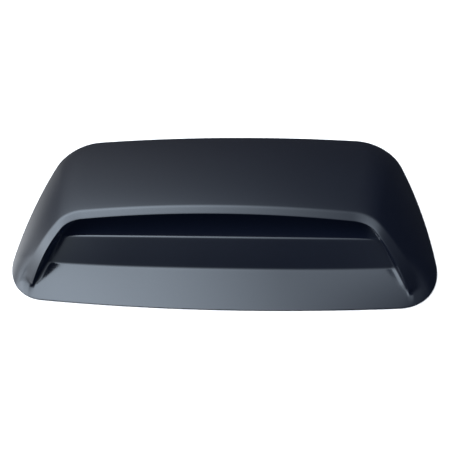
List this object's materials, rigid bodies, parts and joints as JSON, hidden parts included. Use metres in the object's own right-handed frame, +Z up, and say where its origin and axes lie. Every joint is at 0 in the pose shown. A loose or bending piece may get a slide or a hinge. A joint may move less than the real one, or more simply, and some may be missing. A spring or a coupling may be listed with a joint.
{
  "type": "bonnet scoop",
  "caption": "Low, wide bonnet scoop: one moulded shell with a crowned roof, a banded lip and a closed mouth with a ramp and a ledge.",
  "frame": {"origin": "middle of the base's bounding box, on the bonding plane", "axes": "+X across the car, +Y from the mouth to the rear edge, +Z up from the bonnet; the mouth faces -Y"},
  "size_m": [0.6998, 0.344, 0.085],
  "materials": {
    "shell": "satin black with a faint blue cast"
  },
  "bodies": {
    "root": {"scoop_shell": "shell"}
  },
  "joints": []
}
